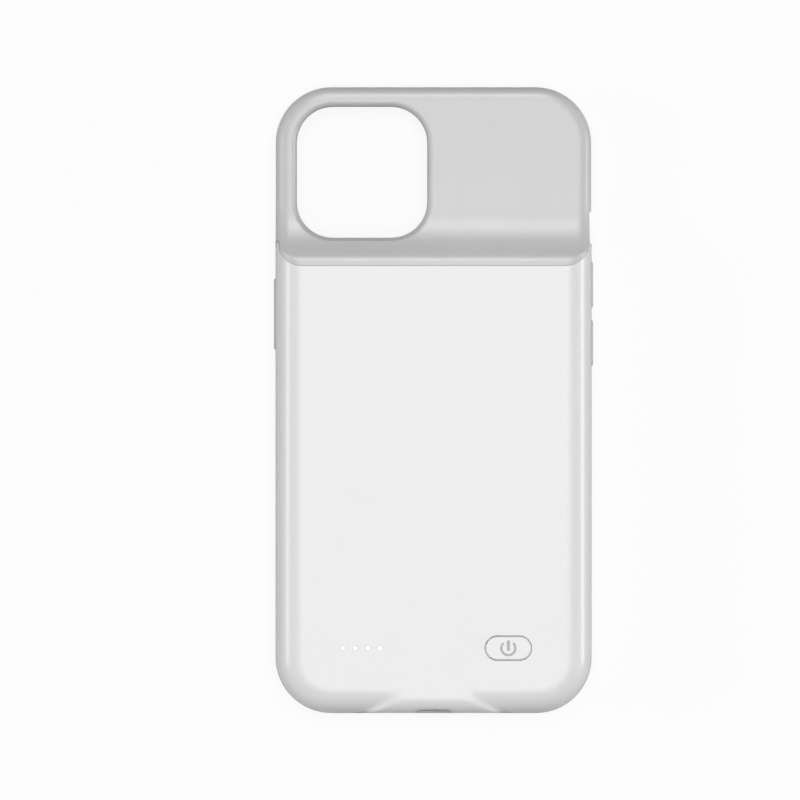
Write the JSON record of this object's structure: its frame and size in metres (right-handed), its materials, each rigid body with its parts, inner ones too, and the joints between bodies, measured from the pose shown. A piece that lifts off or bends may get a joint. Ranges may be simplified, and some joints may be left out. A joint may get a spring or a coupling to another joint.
{
  "type": "battery charging case",
  "caption": "Slim phone case with a built-in battery: soft bumper with camera opening and ramp, hard cover over the cell, plug for the phone, power button and charge lights.",
  "frame": {"origin": "centre of the case's outline, on the plane of the front lip's rim that it lies on", "axes": "+Z out of the back, +Y towards the camera end, +X to the right as seen from the back"},
  "size_m": [0.079, 0.1546, 0.0166],
  "materials": {
    "bumper_soft": "soft matt elastomer",
    "cover_shell": "satin white moulding",
    "button_shell": "satin white moulding",
    "plate_plastic": "matt grey moulding",
    "guide_clear": "frosted clear",
    "cell_foil": "laminated foil",
    "nickel": "bare strip",
    "board_resin": "solder mask",
    "chip_resin": "moulded black",
    "tape": "thin film",
    "foam": "open cell",
    "lead_red": "smooth sleeve",
    "lead_black": "smooth sleeve",
    "steel": "satin",
    "insulator": "moulded black",
    "gold": "plated",
    "ferrite": "pressed powder",
    "ceramic": "fired ceramic",
    "led_resin": "clear resin",
    "switch_metal": "stamped frame",
    "plug_plastic": "matt grey moulding",
    "plug_metal": "satin plated",
    "flex_film": "polyimide film"
  },
  "bodies": {
    "case": {"bumper": "bumper_soft", "battery_cover": "cover_shell", "inner_plate": "plate_plastic", "battery_cell": "cell_foil", "cell_tabs": "nickel", "protection_board": "board_resin", "protection_chips": "chip_resin", "cell_tape": "tape", "cell_foam": "foam", "lead_positive": "lead_red", "lead_negative": "lead_black", "main_board": "board_resin", "board_screws": "steel", "socket_shell": "steel", "socket_tongue": "insulator", "socket_contacts": "gold", "control_chips": "chip_resin", "boost_inductor": "ferrite", "board_capacitors": "ceramic", "indicator_leds": "led_resin", "light_guide": "guide_clear", "tact_switch": "switch_metal", "plug_housing": "plug_plastic", "plug_board": "board_resin", "plug_tab": "plug_metal", "plug_contacts": "gold", "flex_cable": "flex_film"},
    "button": {"power_button": "button_shell", "switch_plunger": "insulator"}
  },
  "joints": [
    {"name": "power_button_press", "type": "slide", "parent": "case", "child": "button", "axis": [0, 0, -1], "range_m": [0, 0.0003], "stiffness_N_per_m": 5000}
  ]
}
